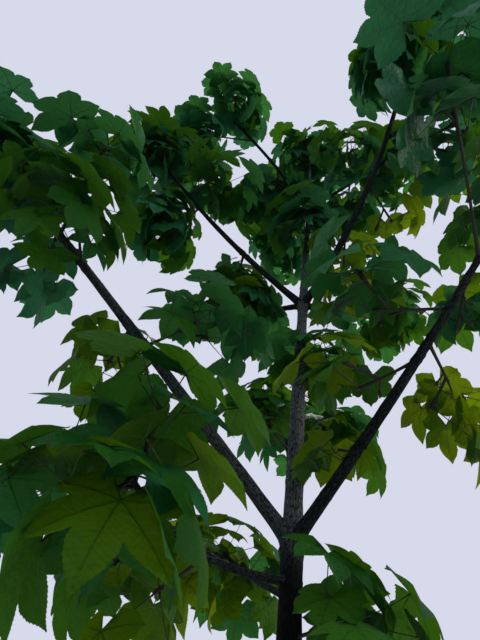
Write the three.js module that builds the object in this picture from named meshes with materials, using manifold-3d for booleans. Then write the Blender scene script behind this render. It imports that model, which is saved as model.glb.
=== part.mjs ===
// Young castor aralia tree in summer leaf.
// One straight trunk carries whorls of rising boughs and ends in a leafy leader.
// Each mass of foliage is one solid: a stem, the twigs on it, and lobed leaves on long stalks.
// Millimetres, +Z up. The origin is the centre of the flat cut under the trunk, at ground level.

import * as THREE from 'three';
import { mergeVertices } from 'three/addons/utils/BufferGeometryUtils.js';
import Module from 'manifold-3d';

const wasm = await Module();
wasm.setup();

const UP = new THREE.Vector3(0, 0, 1);
const GOLDEN_ANGLE = 137.5;

// Trunk
const TRUNK_HEIGHT = 6050;
const TRUNK_FOOT_RADIUS = 55;
const TRUNK_TIP_RADIUS = 8;
const TRUNK_TAPER_POWER = 1.25;
const TRUNK_SWAY = 7;
const TRUNK_SWAY_TURNS = [5, 3];
const TRUNK_SWAY_LENGTH = 3400;
const TRUNK_STRAIGHT = 600;
const TRUNK_SIDES = 10;
const TRUNK_STEP = 330;
const TRUNK_RING_GAP = 180;

// Root flare, and the collar that swells the trunk at each whorl
const FLARE_RADIUS = 26;
const FLARE_HEIGHT = 130;
const FLARE_LOBES = 5;
const FLARE_LOBE_SHARE = 0.35;
const FLARE_STEPS = [0, 50, 120, 220, 380];
const COLLAR_RADIUS = 9;
const COLLAR_HEIGHT = 75;
const COLLAR_FADE = 0.6;
const COLLAR_STEPS = [-110, -40, 40, 110];

// Heights at which limbs leave the trunk
const LOW_HEIGHT = 2266;
const FIRST_WHORL = 2400;
const SECOND_WHORL = 3900;
const THIRD_WHORL = 5200;

// Boughs: angles in degrees, bend and sway in degrees for each metre of length
const BOUGH_SIDES = 8;
const BOUGH_STEP = 250;

// Gaps: a seat is where one solid meets the next, and leaves keep further off
const SEAT_GAP = 0.3;
const SEAT_FIT = 0.34;
const LEAF_GAP = 6;
const SPACE_GAP = 1.5;
const SIMPLIFY = 0.4;

// Twigs and leaf stalks
const STEM_SIDES = 4;
const TIP_SIDES = 6;
const STEM_RADIUS = 8;
const STEM_TIP_RADIUS = 10;
const TWIG_SIDES = 3;
const TWIG_RADIUS = 6;
const TWIG_TIP_RADIUS = 13;
const TWIG_LENGTH = 190;
const TWIG_LENGTH_RANGE = 0.5;
const TWIG_REACH = 133;
const TWIG_FIRST = 0.4;
const TWIG_ZONE = 0.5;
const TWIG_SPREAD = 52;
const TWIG_SPREAD_RANGE = 16;
const SEED_TURN = 47;
const CROWD_RADIUS = 34;
const STALK_RADIUS = 3;
const STALK_LENGTH = 200;
const STALK_LENGTH_LEAST = 0.65;
const STALK_LENGTH_RANGE = 0.6;
const STALK_ROOT = 4;
const STALK_SPREAD = 38;
const STALK_SPREAD_RANGE = 62;
const STALK_TURN_RANGE = 34;
const HUB_DEPTH = 9;
const STALK_LIFT = 0.3;

// Leaf: five lobes about the top of the stalk, reach measured along the midrib
const LEAF_REACH = 184;
const LEAF_REACH_LEAST = 0.8;
const LEAF_REACH_RANGE = 0.3;
const LEAF_YAW_RANGE = 40;
const LEAF_TOP = 2.4;
const LEAF_NECK = 9;
const LEAF_DROOP = 16;
const LEAF_DROOP_RANGE = 36;
const LEAF_DROOP_MOST = 78;
const LEAF_SAG = 0.2;
const LOBE_TIPS = [[0, 1], [50, 0.95], [104, 0.8]];
const LOBE_BAYS = [[25, 0.64], [77, 0.62]];
const LEAF_TRIES = 14;
const CENTRE_LIFT = 20;

// Each bough: its name, where it leaves the trunk, its course, its own length, its radius at the trunk
// and at its end, its tip mass as [stem length, twigs, leaves a hub, seed], and the shoots along it.
// A shoot: [share of the bough, azimuth, rise, stem length, twigs, leaves a hub, seed]
const BOUGHS = [
  {
    name: 'low_left', height: LOW_HEIGHT, azimuth: 206, rise: -17, bend: 33, sway: 43,
    length: 700, radius: 16, end: 10, tip: [150, 4, 4, 12],
    shoots: [[0.58, 150, -35, 170, 1, 4, 10]],
  },
  {
    name: 'low_back', height: LOW_HEIGHT - 60, azimuth: 112, rise: 26, bend: 10, sway: -12,
    length: 640, radius: 14, end: 9, tip: [190, 2, 4, 12],
    shoots: [],
  },
  {
    name: 'first_left', height: FIRST_WHORL, azimuth: 205, rise: 34, bend: 0, sway: -1,
    length: 1760, radius: 29.5, end: 16, tip: [340, 3, 4, 14],
    shoots: [
      [0.56, 333, 26, 220, 1, 4, 11],
      [0.62, 116, -30, 160, 1, 4, 16],
      [0.84, 262, 20, 260, 1, 4, 6],
      [0.94, 292, 28, 400, 1, 4, 6],
      [0.95, 100, -42, 210, 0, 4, 1],
    ],
  },
  {
    name: 'first_right', height: FIRST_WHORL, azimuth: 302, rise: 38, bend: 10, sway: 7,
    length: 1520, radius: 26, end: 14, tip: [330, 3, 4, 19],
    shoots: [
      [0.3, 100, -30, 60, 0, 2, 12],
      [0.64, 45, -25, 240, 1, 3, 12],
      [0.58, 140, -15, 240, 1, 3, 19],
      [0.76, 161, 4, 300, 2, 3, 16],
      [0.86, 87, -37, 200, 0, 3, 9],
      [0.95, 241, 23, 800, 1, 4, 2],
    ],
  },
  {
    name: 'first_back', height: FIRST_WHORL, azimuth: 80, rise: 52, bend: 4, sway: 5,
    length: 1400, radius: 25, end: 14, tip: [300, 2, 4, 6],
    shoots: [[0.5, 325, 30, 300, 1, 3, 17], [0.78, 205, 30, 250, 1, 3, 17]],
  },
  {
    name: 'second_left', height: SECOND_WHORL, azimuth: 186, rise: 37, bend: 6, sway: 8,
    length: 1320, radius: 21.5, end: 12.5, tip: [340, 3, 4, 7],
    shoots: [[0.42, 95, -30, 280, 1, 3, 7], [0.82, 129, -33, 280, 1, 3, 19], [0.93, 320, 20, 240, 1, 3, 3]],
  },
  {
    name: 'second_right', height: SECOND_WHORL, azimuth: 301, rise: 40, bend: 12, sway: -11,
    length: 1760, radius: 22.5, end: 13.5, tip: [300, 4, 3, 19],
    shoots: [
      [0.3, 77, -20, 240, 1, 3, 6],
      [0.52, 40, -22, 260, 1, 3, 12],
      [0.76, 2, -12, 380, 2, 4, 15],
      [0.93, 215, 5, 220, 1, 3, 19],
    ],
  },
  {
    name: 'second_side', height: SECOND_WHORL, azimuth: 32, rise: 38, bend: 6, sway: 6,
    length: 1120, radius: 20, end: 12, tip: [300, 2, 4, 20],
    shoots: [[0.6, 275, 28, 360, 1, 3, 16]],
  },
  {
    name: 'second_back', height: SECOND_WHORL, azimuth: 116, rise: 40, bend: 5, sway: -6,
    length: 1060, radius: 19, end: 12, tip: [300, 3, 3, 7],
    shoots: [],
  },
  {
    name: 'third_left', height: THIRD_WHORL, azimuth: 210, rise: 42, bend: -5, sway: -10,
    length: 930, radius: 16.5, end: 11, tip: [260, 3, 4, 4],
    shoots: [[0.5, 80, -15, 200, 1, 3, 4], [0.9, 176, 0, 460, 2, 3, 5]],
  },
  {
    name: 'third_right', height: THIRD_WHORL, azimuth: 333, rise: 42, bend: 4, sway: 5,
    length: 800, radius: 15, end: 10, tip: [250, 3, 3, 19],
    shoots: [[0.5, 249, 20, 300, 1, 3, 20], [0.6, 79, -20, 280, 0, 4, 15]],
  },
  {
    name: 'third_back', height: THIRD_WHORL, azimuth: 92, rise: 42, bend: 4, sway: 5,
    length: 760, radius: 14.5, end: 10, tip: [250, 2, 3, 11],
    shoots: [],
  },
];

// Shoots that leave the trunk itself: [name, height, azimuth, rise, stem length, twigs, leaves a hub, seed]
const TRUNK_SHOOTS = [
  ['low_right', 2080, 306, 5, 110, 1, 3, 11],
  ['middle', 3240, 352, 35, 150, 1, 3, 17],
  ['upper', 4480, 262, 30, 170, 1, 3, 1],
];
const LEADER = [240, 3, 4, 19];

function radians(angle) {
  return THREE.MathUtils.degToRad(angle);
}

function degrees(angle) {
  return THREE.MathUtils.radToDeg(angle);
}

// Repeatable random numbers from 0 to 1
function randomStream(seed) {
  let state = seed * 7919 + 17;
  return () => {
    state = (state * 16807) % 2147483647;
    return state / 2147483647;
  };
}

function heading(azimuth, rise) {
  const a = radians(azimuth);
  const r = radians(rise);
  return new THREE.Vector3(Math.cos(r) * Math.cos(a), Math.cos(r) * Math.sin(a), Math.sin(r));
}

// Two directions square to an axis: one level, one towards the top
function crossAxes(axis) {
  const side = new THREE.Vector3().crossVectors(axis, UP);
  if (side.length() < 0.01) {
    side.set(1, 0, 0);
  }
  side.normalize();
  return [side, new THREE.Vector3().crossVectors(side, axis).normalize()];
}

// A direction that leaves an axis by spread degrees, turned about it
function branchOff(axis, turn, spread) {
  const [side, rise] = crossAxes(axis);
  const t = radians(turn);
  const s = radians(spread);
  return axis.clone().multiplyScalar(Math.cos(s))
    .addScaledVector(side, Math.sin(s) * Math.cos(t))
    .addScaledVector(rise, Math.sin(s) * Math.sin(t));
}

function trunkCentre(z) {
  const sway = TRUNK_SWAY * Math.min(1, z / TRUNK_STRAIGHT);
  const [x, y] = TRUNK_SWAY_TURNS.map((turns) => sway * Math.sin((turns * z) / TRUNK_SWAY_LENGTH));
  return new THREE.Vector3(x, y, z);
}

function trunkRadius(z, angle = 0) {
  const taper = 1 - (z / TRUNK_HEIGHT) ** TRUNK_TAPER_POWER;
  const flare = FLARE_RADIUS * Math.exp(-z / FLARE_HEIGHT);
  const lobes = 1 + FLARE_LOBE_SHARE * Math.cos(FLARE_LOBES * angle);
  let radius = TRUNK_TIP_RADIUS + (TRUNK_FOOT_RADIUS - TRUNK_TIP_RADIUS) * taper + flare * lobes;
  for (const whorl of [FIRST_WHORL, SECOND_WHORL, THIRD_WHORL]) {
    const collar = COLLAR_RADIUS * (1 - COLLAR_FADE * (whorl / TRUNK_HEIGHT));
    radius += collar * Math.exp(-(((z - whorl) / COLLAR_HEIGHT) ** 2));
  }
  return radius;
}

// Heights of the trunk's rings: close together at the flare and the collars
function trunkHeights() {
  const heights = new Set([...FLARE_STEPS, TRUNK_HEIGHT]);
  for (const whorl of [FIRST_WHORL, SECOND_WHORL, THIRD_WHORL]) {
    COLLAR_STEPS.forEach((step) => heights.add(whorl + step));
  }
  const near = (z) => [...heights].some((other) => Math.abs(other - z) < TRUNK_RING_GAP);
  for (let z = FLARE_STEPS.at(-1) + TRUNK_STEP; z < TRUNK_HEIGHT; z += TRUNK_STEP) {
    if (!near(z)) {
      heights.add(z);
    }
  }
  return [...heights].sort((a, b) => a - b);
}

// A bough's course from the trunk's axis, continued past its end by its tip's stem
function boughCourse(bough) {
  const start = trunkCentre(bough.height);
  const total = bough.length + bough.tip[0];
  const steps = Math.round(total / BOUGH_STEP) * 4;
  const points = [start];
  for (let i = 0; i < steps; i++) {
    const metres = ((i + 0.5) / steps) * total / 1000;
    const way = heading(bough.azimuth + bough.sway * metres, bough.rise + bough.bend * metres);
    points.push(points.at(-1).clone().addScaledVector(way, total / steps));
  }
  return new THREE.CatmullRomCurve3(points);
}

function boughRadius(bough, distance) {
  const share = Math.min(1, distance / bough.length);
  return THREE.MathUtils.lerp(bough.radius, bough.end, share);
}

// Solid from a geometry's merged triangles
function toSolid(geometry) {
  const bare = geometry.clone();
  bare.deleteAttribute('normal');
  bare.deleteAttribute('uv');
  const merged = mergeVertices(bare, 1e-4);
  return new wasm.Manifold(new wasm.Mesh({
    numProp: 3,
    vertProperties: new Float32Array(merged.attributes.position.array),
    triVerts: new Uint32Array(merged.index.array),
  }));
}

// Round limb through rings, each a centre, a direction and a radius, which may depend on the angle
function limbSolid(rings, sides) {
  const geometry = new THREE.CylinderGeometry(1, 1, 1, sides, rings.length - 1);
  const position = geometry.attributes.position;
  for (let i = 0; i < position.count; i++) {
    const ring = rings[Math.round((position.getY(i) + 0.5) * (rings.length - 1))];
    const [side, rise] = ring.axes;
    const angle = Math.atan2(position.getX(i), position.getZ(i));
    const onAxis = Math.hypot(position.getX(i), position.getZ(i)) < 0.5;
    const radius = onAxis ? 0 : ring.radius(angle);
    const place = ring.centre.clone()
      .addScaledVector(side, radius * Math.sin(angle))
      .addScaledVector(rise, radius * Math.cos(angle));
    position.setXYZ(i, place.x, place.y, place.z);
  }
  return toSolid(geometry);
}

// Straight limb between two points
function rodSolid(from, to, startRadius, endRadius, sides) {
  const axes = crossAxes(to.clone().sub(from).normalize());
  return limbSolid([
    { centre: from, axes, radius: () => startRadius },
    { centre: to, axes, radius: () => endRadius },
  ], sides);
}

function trunkSolid(grow) {
  const axes = [new THREE.Vector3(1, 0, 0), new THREE.Vector3(0, -1, 0)];
  const rings = trunkHeights().map((z) => ({
    centre: trunkCentre(z).setZ(z === TRUNK_HEIGHT ? z + grow : z),
    axes,
    radius: (angle) => trunkRadius(z, angle) + grow,
  }));
  return limbSolid(rings, TRUNK_SIDES);
}

function boughSolid(bough, course, grow) {
  const total = bough.length + bough.tip[0];
  const steps = Math.round(bough.length / BOUGH_STEP);
  const rings = [];
  for (let i = 0; i <= steps; i++) {
    const distance = (i / steps) * bough.length;
    const along = course.getTangentAt(distance / total);
    const reach = i === steps ? grow : 0;
    rings.push({
      centre: course.getPointAt(distance / total).addScaledVector(along, reach),
      axes: crossAxes(along),
      radius: () => boughRadius(bough, distance) + grow,
    });
  }
  return limbSolid(rings, BOUGH_SIDES);
}

// Outline of a leaf as [angle from the midrib, share of the reach], once round
function leafOutline() {
  const half = [LOBE_TIPS[0]];
  LOBE_BAYS.forEach((bay, i) => half.push(bay, LOBE_TIPS[i + 1]));
  const back = half.slice(1).reverse().map(([angle, share]) => [-angle, share]);
  return [...half, ...back];
}

// Leaf on its stalk, in one skin: a top fan, an under side that gathers to the stalk, and the stalk
function leafSolid(root, hub, forward, reach) {
  const way = hub.clone().sub(root).normalize();
  const side = new THREE.Vector3().crossVectors(UP, forward).normalize();
  const normal = new THREE.Vector3().crossVectors(forward, side);
  const rim = leafOutline().map(([angle, share]) => (
    hub.clone()
      .addScaledVector(forward, reach * share * Math.cos(radians(angle)))
      .addScaledVector(side, reach * share * Math.sin(radians(angle)))
      .addScaledVector(normal, -reach * LEAF_SAG * share * share)
  ));
  const ring = (centre) => [0, 1, 2].map((i) => (
    centre.clone().addScaledVector(branchOff(way, ringTurn(way, forward) - 120 * i, 90), STALK_RADIUS)
  ));
  const neck = ring(hub.clone().addScaledVector(way, -LEAF_NECK));
  const foot = ring(root);
  const top = hub.clone().addScaledVector(normal, LEAF_TOP);
  const faces = [];
  const third = (i) => Math.round((i * 3) / rim.length) % 3;
  rim.forEach((point, i) => {
    const next = rim[(i + 1) % rim.length];
    const here = neck[third(i)];
    const there = neck[third(i + 1)];
    faces.push([top, point, next], [next, point, here]);
    if (here !== there) {
      faces.push([next, here, there]);
    }
  });
  neck.forEach((point, i) => {
    const j = (i + 1) % 3;
    faces.push([point, foot[i], neck[j]], [neck[j], foot[i], foot[j]]);
  });
  faces.push([foot[0], foot[2], foot[1]]);
  const geometry = new THREE.BufferGeometry().setFromPoints(faces.flat());
  return toSolid(geometry);
}

// Turn about the stalk that looks most nearly along the leaf's midrib
function ringTurn(way, forward) {
  const [side, rise] = crossAxes(way);
  return degrees(Math.atan2(forward.dot(rise), forward.dot(side)));
}

// Zone round a hub where the roots of its stalks may touch
function crowdSolid(centre) {
  return toSolid(new THREE.OctahedronGeometry(CROWD_RADIUS).translate(centre.x, centre.y, centre.z));
}

// Hubs of a mass: the stem's tip and the tips of the twigs that leave the stem by the golden angle
function growTwigs(mass, random) {
  const hubs = [{ root: mass.stemAt(0.8), tip: mass.stemAt(1), turn: 360 * random(), twig: false }];
  for (let i = 0; i < mass.twigs; i++) {
    const root = mass.stemAt(TWIG_FIRST + TWIG_ZONE * ((i + 0.5) / mass.twigs));
    const turn = SEED_TURN * mass.seed + GOLDEN_ANGLE * i;
    const length = TWIG_LENGTH * (1 + TWIG_LENGTH_RANGE * (random() - 0.5));
    const way = branchOff(mass.along, turn, TWIG_SPREAD + TWIG_SPREAD_RANGE * (random() - 0.5));
    hubs.push({ root, tip: root.clone().addScaledVector(way, length), turn: 360 * random(), twig: true });
  }
  return hubs;
}

// One leaf at a hub: a stalk that leaves the twig, and a blade that looks outwards and hangs from it
function growLeaf(hub, share, random) {
  const axis = hub.tip.clone().sub(hub.root).normalize();
  const lean = axis.clone().addScaledVector(UP, STALK_LIFT).normalize();
  const turn = hub.turn + 360 * share + STALK_TURN_RANGE * (random() - 0.5);
  const way = branchOff(lean, turn, STALK_SPREAD + STALK_SPREAD_RANGE * random());
  const start = hub.tip.clone().addScaledVector(axis, -HUB_DEPTH).addScaledVector(way, STALK_ROOT);
  const length = STALK_LENGTH * (STALK_LENGTH_LEAST + STALK_LENGTH_RANGE * random());
  const top = start.clone().addScaledVector(way, length);
  const level = degrees(Math.atan2(way.y, way.x)) + LEAF_YAW_RANGE * (random() - 0.5);
  const hang = LEAF_DROOP + Math.max(0, -degrees(Math.asin(way.z))) + LEAF_DROOP_RANGE * random();
  const reach = LEAF_REACH * (LEAF_REACH_LEAST + LEAF_REACH_RANGE * random());
  return leafSolid(start, top, heading(level, -Math.min(hang, LEAF_DROOP_MOST)), reach);
}

// Every vertex lies in the mass's own space: a ball, cut by a plane towards each near mass
function keepsToSpace(solid, mass) {
  const points = solid.getMesh().vertProperties;
  for (let i = 0; i < points.length; i += 3) {
    const point = new THREE.Vector3(points[i], points[i + 1], points[i + 2]);
    if (point.distanceTo(mass.centre) > mass.reach) {
      return false;
    }
    if (mass.planes.some((plane) => plane.distanceToPoint(point) > -SPACE_GAP)) {
      return false;
    }
  }
  return true;
}

function touches(solid, other) {
  return !solid.intersect(other).isEmpty();
}

function setPlanes(masses) {
  for (const mass of masses) {
    mass.planes = [];
    for (const other of masses) {
      const gap = mass.centre.distanceTo(other.centre);
      if (other !== mass && gap < mass.reach + other.reach) {
        const share = mass.reach / (mass.reach + other.reach);
        const normal = other.centre.clone().sub(mass.centre).normalize();
        const middle = mass.centre.clone().lerp(other.centre, share);
        mass.planes.push(new THREE.Plane().setFromNormalAndCoplanarPoint(normal, middle));
      }
    }
  }
}

// The largest body of a fused mass: its outer skin, with loose scraps and sealed hollows gone
function largestBody(solid) {
  const bodies = solid.decompose();
  return bodies.reduce((best, body) => (body.volume() > best.volume() ? body : best));
}

function massSolid(mass, limbs) {
  const random = randomStream(mass.seed);
  let grown = mass.stem;
  for (const hub of growTwigs(mass, random)) {
    if (hub.twig) {
      const twig = rodSolid(hub.root, hub.tip, TWIG_RADIUS, TWIG_TIP_RADIUS, TWIG_SIDES);
      if (!keepsToSpace(twig, mass) || touches(twig, limbs)) {
        continue;
      }
      grown = grown.add(twig);
    }
    for (let i = 0; i < mass.leaves; i++) {
      const leaf = placeLeaf(hub, i / mass.leaves, mass, limbs, grown, random);
      if (leaf !== null) {
        grown = grown.add(leaf);
      }
    }
  }
  const cut = mass.seat === null ? grown : grown.subtract(mass.seat);
  return largestBody(cut).simplify(SIMPLIFY);
}

// Tries a leaf at a few random places, and skips it where none is free
function placeLeaf(hub, share, mass, limbs, grown, random) {
  const crowd = crowdSolid(hub.tip);
  for (let i = 0; i < LEAF_TRIES; i++) {
    const leaf = growLeaf(hub, share, random);
    if (keepsToSpace(leaf, mass) && !touches(leaf, limbs) && !touches(leaf.subtract(crowd), grown)) {
      return leaf;
    }
  }
  return null;
}

// Mass on a stem that is straight, or that follows a limb's course
function makeMass(name, stemAt, startRadius, [twigs, leaves, seed], seat) {
  const rings = (seat === null ? [0, 0.5, 1] : [0, 1]).map((share) => {
    const along = stemAt(Math.min(1, share + 0.05)).sub(stemAt(Math.max(0, share - 0.05))).normalize();
    return {
      centre: stemAt(share),
      axes: crossAxes(along),
      radius: () => THREE.MathUtils.lerp(startRadius, STEM_TIP_RADIUS, share),
    };
  });
  return {
    name: `leaves_${name}`,
    stemAt,
    along: stemAt(1).sub(stemAt(0)).normalize(),
    stem: limbSolid(rings, seat === null ? TIP_SIDES : STEM_SIDES),
    seat,
    twigs,
    leaves,
    seed,
    centre: stemAt(1).addScaledVector(UP, CENTRE_LIFT),
    reach: (twigs > 0 ? TWIG_REACH : 0) + STALK_LENGTH + LEAF_REACH,
  };
}

// Builds every limb and mass
function buildTree() {
  const solids = [['trunk', trunkSolid(0)]];
  const trunkSeat = trunkSolid(SEAT_FIT);
  const wide = [trunkSolid(LEAF_GAP)];
  const masses = [];
  let taken = trunkSeat;
  for (const bough of BOUGHS) {
    const course = boughCourse(bough);
    const total = bough.length + bough.tip[0];
    solids.push([`bough_${bough.name}`, largestBody(boughSolid(bough, course, 0).subtract(taken))]);
    wide.push(boughSolid(bough, course, LEAF_GAP));
    const boughSeat = boughSolid(bough, course, SEAT_FIT);
    taken = taken.add(boughSeat);
    const tipStart = (bough.length + SEAT_GAP) / total;
    const tipAt = (share) => course.getPointAt(THREE.MathUtils.lerp(tipStart, 1, share));
    masses.push(makeMass(`${bough.name}_tip`, tipAt, bough.end, bough.tip.slice(1), null));
    bough.shoots.forEach(([at, azimuth, rise, length, ...growth], i) => {
      const root = course.getPointAt(at * bough.length / total);
      const way = heading(azimuth, rise);
      const reach = length + boughRadius(bough, at * bough.length);
      const shootAt = (share) => root.clone().addScaledVector(way, share * reach);
      const name = `${bough.name}_side_${i + 1}`;
      masses.push(makeMass(name, shootAt, STEM_RADIUS, growth, boughSeat));
    });
  }
  for (const [name, height, azimuth, rise, length, ...growth] of TRUNK_SHOOTS) {
    const root = trunkCentre(height);
    const way = heading(azimuth, rise);
    const reach = length + trunkRadius(height);
    const shootAt = (share) => root.clone().addScaledVector(way, share * reach);
    masses.push(makeMass(`trunk_${name}`, shootAt, STEM_RADIUS, growth, trunkSeat));
  }
  const top = trunkCentre(TRUNK_HEIGHT);
  const leaderAt = (share) => top.clone().addScaledVector(UP, SEAT_GAP + share * LEADER[0]);
  masses.push(makeMass('leader', leaderAt, TRUNK_TIP_RADIUS, LEADER.slice(1), null));
  setPlanes(masses);
  const limbs = wasm.Manifold.union(wide);
  for (const mass of masses) {
    const stems = masses.filter((other) => other !== mass).map((other) => other.stem);
    solids.push([mass.name, massSolid(mass, wasm.Manifold.union([limbs, ...stems]))]);
  }
  return solids;
}

// Materials: bark of the trunk, darker bark of the boughs, and leaf greens that differ by mass
const trunkBark = new THREE.MeshStandardMaterial({ color: 0x5a5248, roughness: 0.9, metalness: 0 });
const boughBark = new THREE.MeshStandardMaterial({ color: 0x3f3a33, roughness: 0.88, metalness: 0 });
const leafGreens = [0x2f5a1c, 0x3c6a20, 0x26501c].map((color) => (
  new THREE.MeshStandardMaterial({ color, roughness: 0.5, metalness: 0 })
));

function materialFor(name, index) {
  if (name === 'trunk') {
    return trunkBark;
  }
  return name.startsWith('bough_') ? boughBark : leafGreens[index % leafGreens.length];
}

function toMesh(name, solid, index) {
  const { vertProperties, triVerts } = solid.getMesh();
  const geometry = new THREE.BufferGeometry();
  geometry.setAttribute('position', new THREE.BufferAttribute(new Float32Array(vertProperties), 3));
  geometry.setIndex(new THREE.BufferAttribute(new Uint32Array(triVerts), 1));
  geometry.computeVertexNormals();
  const mesh = new THREE.Mesh(geometry, materialFor(name, index));
  mesh.name = name;
  return mesh;
}

const tree = new THREE.Group();
buildTree().forEach(([name, solid], index) => tree.add(toMesh(name, solid, index)));

export default tree;
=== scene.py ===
# Young castor aralia tree in summer leaf, seen from under its crown.
# The limbs get bark, and each mass of foliage grows its twigs and lobed leaves by the solids' rule.
# Growth is worked out in millimetres, as the solids are, and meshes are made in metres, +Z up.

import math

import bpy
import numpy as np
from mathutils import Matrix, Vector, noise


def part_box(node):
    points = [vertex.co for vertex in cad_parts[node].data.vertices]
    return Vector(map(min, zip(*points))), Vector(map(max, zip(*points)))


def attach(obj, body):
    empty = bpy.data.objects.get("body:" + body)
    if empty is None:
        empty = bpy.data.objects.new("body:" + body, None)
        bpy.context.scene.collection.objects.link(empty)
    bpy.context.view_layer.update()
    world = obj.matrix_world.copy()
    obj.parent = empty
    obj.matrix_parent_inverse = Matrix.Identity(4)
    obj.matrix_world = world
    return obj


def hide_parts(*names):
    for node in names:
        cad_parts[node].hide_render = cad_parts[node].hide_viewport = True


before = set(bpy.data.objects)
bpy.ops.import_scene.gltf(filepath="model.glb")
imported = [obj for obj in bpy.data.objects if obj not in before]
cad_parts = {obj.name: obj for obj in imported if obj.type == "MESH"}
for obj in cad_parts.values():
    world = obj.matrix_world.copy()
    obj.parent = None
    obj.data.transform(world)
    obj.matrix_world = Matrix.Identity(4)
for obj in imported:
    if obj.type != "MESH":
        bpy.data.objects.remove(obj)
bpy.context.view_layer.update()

MM = 0.001
UP = np.array((0.0, 0.0, 1.0))
GOLDEN_ANGLE = 137.5

# Random numbers, drawn as in the solids. Spurs and tones have streams of their own, whose seeds are
# this far from the leaves'.
STREAM_START = (7919, 17)
STREAM_STEP = 16807
STREAM_SIZE = 2147483647
SPUR_STREAM = 500
TONE_STREAM = 900

# Trunk, as in the solids
TRUNK_HEIGHT = 6050
TRUNK_FOOT_RADIUS = 55
TRUNK_TIP_RADIUS = 8
TRUNK_TAPER_POWER = 1.25
TRUNK_SWAY = 7
TRUNK_SWAY_TURNS = (5, 3)
TRUNK_SWAY_LENGTH = 3400
TRUNK_STRAIGHT = 600
FLARE_RADIUS = 26
FLARE_HEIGHT = 130
FLARE_LOBES = 5
FLARE_LOBE_SHARE = 0.35
COLLAR_RADIUS = 9
COLLAR_HEIGHT = 75
COLLAR_FADE = 0.6
WHORLS = (2400, 3900, 5200)

# Twigs and leaf stalks, as in the solids but for slimmer tips on the twigs
STEM_RADIUS = 8
STEM_TIP_RADIUS = 10
STEM_HUB_ROOT = 0.8
TWIG_RADIUS = 6
TWIG_TIP_RADIUS = 11
TWIG_LENGTH = 190
TWIG_LENGTH_RANGE = 0.5
TWIG_REACH = 133
TWIG_FIRST = 0.4
TWIG_ZONE = 0.5
TWIG_SPREAD = 52
TWIG_SPREAD_RANGE = 16
SEED_TURN = 47
STALK_LENGTH = 200
STALK_LENGTH_LEAST = 0.65
STALK_LENGTH_RANGE = 0.6
STALK_SPREAD = 38
STALK_SPREAD_RANGE = 62
STALK_TURN_RANGE = 34
STALK_LIFT = 0.3
HUB_DEPTH = 9
CENTRE_LIFT = 20
LEAF_REACH = 184
LEAF_REACH_LEAST = 0.8
LEAF_REACH_RANGE = 0.3
LEAF_YAW_RANGE = 40
LEAF_DROOP = 16
LEAF_DROOP_RANGE = 36
LEAF_DROOP_MOST = 78
LEAF_GAP = 6

# Steps down the limbs' middle lines, in millimetres, and points down a tip's stem and a twig
COURSE_STEP = 15
TANGENT_STEP = 8.0
SAMPLE_STEP = 25
TIP_POINTS = 12
TWIG_POINTS = 6

# Grid that is rolled round a limb: faces round it, and millimetres from row to row
TRUNK_GRID = (56, 12)
BOUGH_GRID = (28, 14)
TRUNK_POINTS = 240
WELD = 0.00005
CREASE_ANGLE = 50

# Relief of the bark: depths in shares of the limb's radius, lengths in millimetres
PATTERN_RADIUS = 2.2
RIDGE_DEPTH = 0.045
RIDGE_LENGTH = 70
LUMP_DEPTH = 0.06
LUMP_SHIFT = 40
YEAR_RING_DEPTH = 0.05
YEAR_RING_GAP = 410
YEAR_RING_WIDTH = 9
YEAR_RING_SHIFT = 97
BURR_DEPTH = 0.45
BURR_SWELL = 0.05
BURR_LENGTH = 22
KNOT_LENGTH = 45

# Each bough's bark is taken from its own stretch of the pattern, past the trunk's brown lower
# bark and its painted shade
BARK_SHIFT = 3000
# Metres up the trunk between which its brown lower bark, with painted shade, gives way to the grey
# bark
SHADED_LOWER_HEIGHTS = (2.28, 2.46)
# The boughs whose bark is painted a paler grey, as painted light falling on them from the side
PAINTED_LIT_BOUGHS = ("first_left",)
ROOT_FLARE = 0.3
ROOT_FLARE_LENGTH = 80
BOUGH_TIP_SHARE = 0.9

# Finer growth than the solids have: short spurs along stems and twigs, and more leaves to a hub
SPUR_LENGTH = 60
SPUR_LENGTH_LEAST = 0.6
SPUR_LENGTH_RANGE = 0.8
SPUR_ZONES = {"stem": (0.1, 0.75), "twig": (0.3, 0.5)}
SPUR_RADIUS = 4
SPUR_TIP_RADIUS = 6
SPUR_SPREAD = 62
SPUR_STALK = 0.75
SPUR_LEAF = 0.88
SPUR_LEAVES = 3
BOX_MARGIN = 60
LEAF_TRIES = 14
LEAF_CLEAR = 135
LEAF_CROWD = 52
TONE_RANGE = 0.7

# Thin tubes: radii at even steps in millimetres, a stem's and a twig's in shares of their own
STEM_WAIST = np.array((1.3, 1.0, 0.85, 0.8, 0.8, 0.8, 0.85, 0.95, 1.1))
STEM_BOW = 0.02
TWIG_HEEL = 1.3
TWIG_BOW = 4
TWIG_SIDES = 8
STALK_RADII = np.array((4.2, 2.4, 1.9, 1.7, 2.2))
STALK_BOW = 6
STALK_SIDES = 4
BUD_RADII = np.array((8, 9, 6, 1))
BUD_PLACES = (-4, 4, 11, 17)
BUD_SIDES = 6
SPUR_BUD = 0.6

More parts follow.
